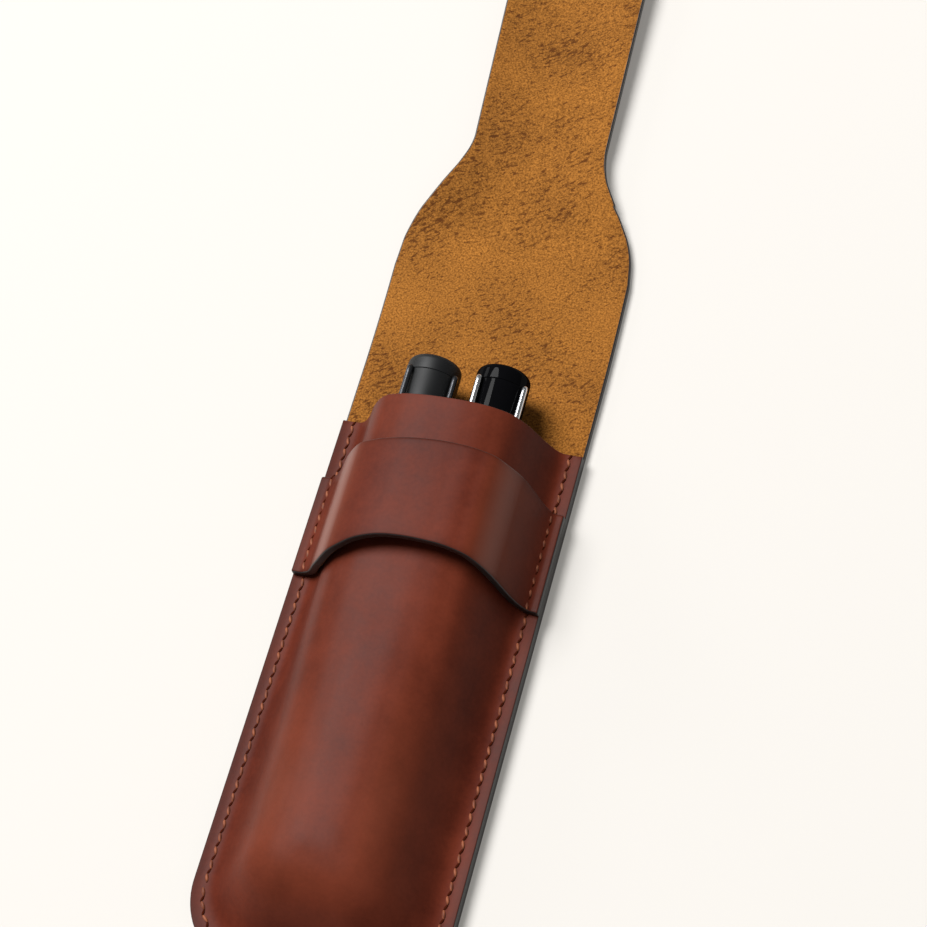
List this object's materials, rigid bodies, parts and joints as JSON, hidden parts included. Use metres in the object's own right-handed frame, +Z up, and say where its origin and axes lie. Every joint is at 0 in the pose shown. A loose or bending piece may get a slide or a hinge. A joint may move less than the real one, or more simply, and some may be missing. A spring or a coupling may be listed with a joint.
{
  "type": "fountain pen case",
  "caption": "Leather sleeve for fountain pens, moulded round them, with a long flap whose tongue tucks under a stitched band.",
  "frame": {"origin": "middle of the pocket's mouth, on the underside that lies on the table", "axes": "+X along the mouth, +Y out of the pocket along the open flap, +Z up"},
  "size_m": [0.0566, 0.2632, 0.027],
  "materials": {
    "moulded_leather": "smooth waxed leather",
    "flap_leather": "bare flesh side",
    "thread": "waxed thread",
    "charcoal_resin": "matte",
    "black_resin": "polished",
    "dark_wire": "dark coated wire",
    "bright_wire": "polished wire",
    "cartridge_plastic": "satin",
    "feed_plastic": "matte",
    "nib_steel": "polished steel"
  },
  "bodies": {
    "case": {"back_panel": "flap_leather", "pocket_front": "moulded_leather", "tuck_band": "moulded_leather", "thread_front_left": "thread", "thread_front_right": "thread", "thread_front_bottom": "thread", "thread_back_left": "thread", "thread_back_right": "thread", "thread_back_bottom": "thread"},
    "flap_1": {"flap_bend_1": "flap_leather"},
    "flap_2": {"flap_bend_2": "flap_leather"},
    "flap_3": {"flap_bend_3": "flap_leather"},
    "flap_4": {"flap_bend_4": "flap_leather"},
    "flap_5": {"flap_bend_5": "flap_leather"},
    "flap_6": {"flap_tongue": "flap_leather"},
    "left_pen": {"left_barrel": "charcoal_resin", "left_grip": "charcoal_resin", "left_ink_cartridge": "cartridge_plastic", "left_feed": "feed_plastic", "left_nib": "nib_steel"},
    "left_cap": {"left_cap": "charcoal_resin", "left_crown": "charcoal_resin", "left_clip": "dark_wire"},
    "right_pen": {"right_barrel": "black_resin", "right_grip": "black_resin", "right_ink_cartridge": "cartridge_plastic", "right_feed": "feed_plastic", "right_nib": "nib_steel"},
    "right_cap": {"right_cap": "black_resin", "right_crown": "black_resin", "right_clip": "bright_wire"}
  },
  "joints": [
    {"name": "flap_fold", "type": "hinge", "parent": "case", "child": "flap_1", "pos_m": [0, 0.0161, 0.0018], "axis": [-0.9998, -0.0218, 0], "range_deg": [-30, 0]},
    {"name": "flap_fold_2", "type": "hinge", "parent": "flap_1", "child": "flap_2", "pos_m": [-0.00012, 0.02172, 0.0018], "axis": [-0.9998, -0.0218, 0], "range_deg": [-30, 0]},
    {"name": "flap_fold_3", "type": "hinge", "parent": "flap_2", "child": "flap_3", "pos_m": [-0.00025, 0.02734, 0.0018], "axis": [-0.9998, -0.0218, 0], "range_deg": [-30, 0]},
    {"name": "flap_wrap", "type": "hinge", "parent": "flap_3", "child": "flap_4", "pos_m": [-0.00037, 0.03296, 0.0018], "axis": [-0.9998, -0.0218, 0], "range_deg": [-30, 0]},
    {"name": "flap_wrap_2", "type": "hinge", "parent": "flap_4", "child": "flap_5", "pos_m": [-0.00049, 0.03858, 0.0018], "axis": [-0.9998, -0.0218, 0], "range_deg": [-30, 0]},
    {"name": "flap_wrap_3", "type": "hinge", "parent": "flap_5", "child": "flap_6", "pos_m": [-0.00061, 0.0442, 0.0018], "axis": [-0.9998, -0.0218, 0], "range_deg": [-30, 0]},
    {"name": "left_pen_draw", "type": "slide", "parent": "case", "child": "left_pen", "axis": [0, 0.9997, 0.0262], "range_m": [0, 0.118]},
    {"name": "left_cap_pull", "type": "slide", "parent": "left_pen", "child": "left_cap", "axis": [0, 0.9997, 0.0262], "range_m": [0, 0.058]},
    {"name": "right_pen_draw", "type": "slide", "parent": "case", "child": "right_pen", "axis": [0, 0.9997, 0.0262], "range_m": [0, 0.118]},
    {"name": "right_cap_pull", "type": "slide", "parent": "right_pen", "child": "right_cap", "axis": [0, 0.9997, 0.0262], "range_m": [0, 0.058]}
  ],
  "couplings": [
    {"joint": "flap_fold_2", "follows": "flap_fold", "ratio": 1},
    {"joint": "flap_fold_3", "follows": "flap_fold", "ratio": 1},
    {"joint": "flap_wrap_2", "follows": "flap_wrap", "ratio": 1},
    {"joint": "flap_wrap_3", "follows": "flap_wrap", "ratio": 1}
  ]
}
